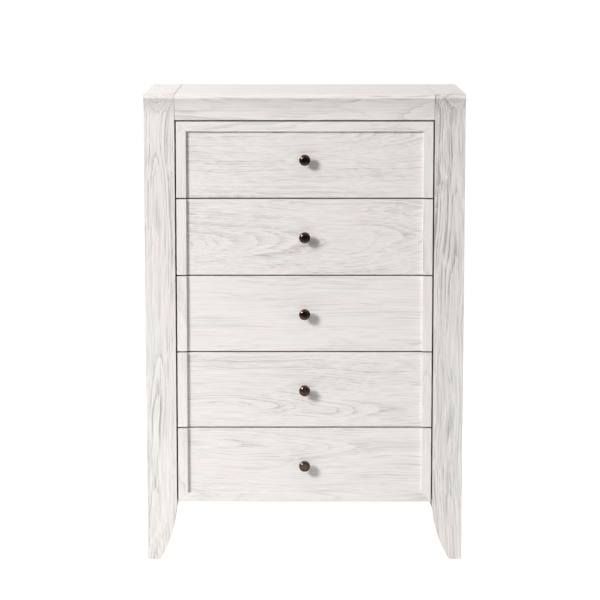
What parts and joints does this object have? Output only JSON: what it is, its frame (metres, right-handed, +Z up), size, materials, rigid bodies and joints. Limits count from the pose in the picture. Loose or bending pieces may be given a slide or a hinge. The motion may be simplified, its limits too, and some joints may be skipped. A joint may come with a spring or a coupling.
{
  "type": "tall chest of drawers",
  "caption": "Tall free-standing chest with full-height legs that sweep out to narrow feet, a coved and chamfered top, and drawers with recessed panels and round metal knobs.",
  "frame": {"origin": "on the floor, under the centre of the chest's box", "axes": "+Z up, +X to the right when facing the drawers, -Y towards the user, the way the drawers open"},
  "size_m": [0.813, 0.457, 1.204],
  "materials": {
    "whitewashed_oak": "satin lacquer over whitewashed open-grain oak",
    "pale_hardwood": "clear satin, unstained",
    "pale_panel_board": "thin veneered board, matt",
    "dark_bronze": "dark bronze, glossy",
    "zinc_steel": "zinc plated",
    "screw_steel": "zinc plated, satin",
    "nylon": "moulded nylon"
  },
  "bodies": {
    "case": {"back_panel": "pale_panel_board", "bottom_panel": "pale_panel_board", "case_slide_members": "zinc_steel", "case_slide_screws": "screw_steel", "floor_glides": "nylon", "front_top_rail": "whitewashed_oak", "left_front_leg": "whitewashed_oak", "left_rear_leg": "whitewashed_oak", "rear_top_rail": "pale_hardwood", "right_front_leg": "whitewashed_oak", "right_rear_leg": "whitewashed_oak", "side_panels": "whitewashed_oak", "side_rails": "whitewashed_oak", "side_top_caps": "whitewashed_oak", "top_panel": "whitewashed_oak"},
    "drawer_1": {"drawer_1_bottom": "pale_panel_board", "drawer_1_box_ends": "pale_hardwood", "drawer_1_box_sides": "pale_hardwood", "drawer_1_front_frame": "whitewashed_oak", "drawer_1_front_panel": "whitewashed_oak", "drawer_1_knob": "dark_bronze", "drawer_1_screws": "screw_steel", "drawer_1_slide_members": "zinc_steel"},
    "drawer_1_runners": {"drawer_1_middle_members": "zinc_steel"},
    "drawer_2": {"drawer_2_bottom": "pale_panel_board", "drawer_2_box_ends": "pale_hardwood", "drawer_2_box_sides": "pale_hardwood", "drawer_2_front_frame": "whitewashed_oak", "drawer_2_front_panel": "whitewashed_oak", "drawer_2_knob": "dark_bronze", "drawer_2_screws": "screw_steel", "drawer_2_slide_members": "zinc_steel"},
    "drawer_2_runners": {"drawer_2_middle_members": "zinc_steel"},
    "drawer_3": {"drawer_3_bottom": "pale_panel_board", "drawer_3_box_ends": "pale_hardwood", "drawer_3_box_sides": "pale_hardwood", "drawer_3_front_frame": "whitewashed_oak", "drawer_3_front_panel": "whitewashed_oak", "drawer_3_knob": "dark_bronze", "drawer_3_screws": "screw_steel", "drawer_3_slide_members": "zinc_steel"},
    "drawer_3_runners": {"drawer_3_middle_members": "zinc_steel"},
    "drawer_4": {"drawer_4_bottom": "pale_panel_board", "drawer_4_box_ends": "pale_hardwood", "drawer_4_box_sides": "pale_hardwood", "drawer_4_front_frame": "whitewashed_oak", "drawer_4_front_panel": "whitewashed_oak", "drawer_4_knob": "dark_bronze", "drawer_4_screws": "screw_steel", "drawer_4_slide_members": "zinc_steel"},
    "drawer_4_runners": {"drawer_4_middle_members": "zinc_steel"},
    "drawer_5": {"drawer_5_bottom": "pale_panel_board", "drawer_5_box_ends": "pale_hardwood", "drawer_5_box_sides": "pale_hardwood", "drawer_5_front_frame": "whitewashed_oak", "drawer_5_front_panel": "whitewashed_oak", "drawer_5_knob": "dark_bronze", "drawer_5_screws": "screw_steel", "drawer_5_slide_members": "zinc_steel"},
    "drawer_5_runners": {"drawer_5_middle_members": "zinc_steel"}
  },
  "joints": [
    {"name": "drawer_1_slide", "type": "slide", "parent": "case", "child": "drawer_1", "axis": [0, -1, 0], "range_m": [0, 0.35]},
    {"name": "drawer_1_runner_slide", "type": "slide", "parent": "case", "child": "drawer_1_runners", "axis": [0, -1, 0], "range_m": [0, 0.175]},
    {"name": "drawer_2_slide", "type": "slide", "parent": "case", "child": "drawer_2", "axis": [0, -1, 0], "range_m": [0, 0.35]},
    {"name": "drawer_2_runner_slide", "type": "slide", "parent": "case", "child": "drawer_2_runners", "axis": [0, -1, 0], "range_m": [0, 0.175]},
    {"name": "drawer_3_slide", "type": "slide", "parent": "case", "child": "drawer_3", "axis": [0, -1, 0], "range_m": [0, 0.35]},
    {"name": "drawer_3_runner_slide", "type": "slide", "parent": "case", "child": "drawer_3_runners", "axis": [0, -1, 0], "range_m": [0, 0.175]},
    {"name": "drawer_4_slide", "type": "slide", "parent": "case", "child": "drawer_4", "axis": [0, -1, 0], "range_m": [0, 0.35]},
    {"name": "drawer_4_runner_slide", "type": "slide", "parent": "case", "child": "drawer_4_runners", "axis": [0, -1, 0], "range_m": [0, 0.175]},
    {"name": "drawer_5_slide", "type": "slide", "parent": "case", "child": "drawer_5", "axis": [0, -1, 0], "range_m": [0, 0.35]},
    {"name": "drawer_5_runner_slide", "type": "slide", "parent": "case", "child": "drawer_5_runners", "axis": [0, -1, 0], "range_m": [0, 0.175]}
  ],
  "couplings": [
    {"joint": "drawer_1_runner_slide", "follows": "drawer_1_slide", "ratio": 0.5},
    {"joint": "drawer_2_runner_slide", "follows": "drawer_2_slide", "ratio": 0.5},
    {"joint": "drawer_3_runner_slide", "follows": "drawer_3_slide", "ratio": 0.5},
    {"joint": "drawer_4_runner_slide", "follows": "drawer_4_slide", "ratio": 0.5},
    {"joint": "drawer_5_runner_slide", "follows": "drawer_5_slide", "ratio": 0.5}
  ]
}
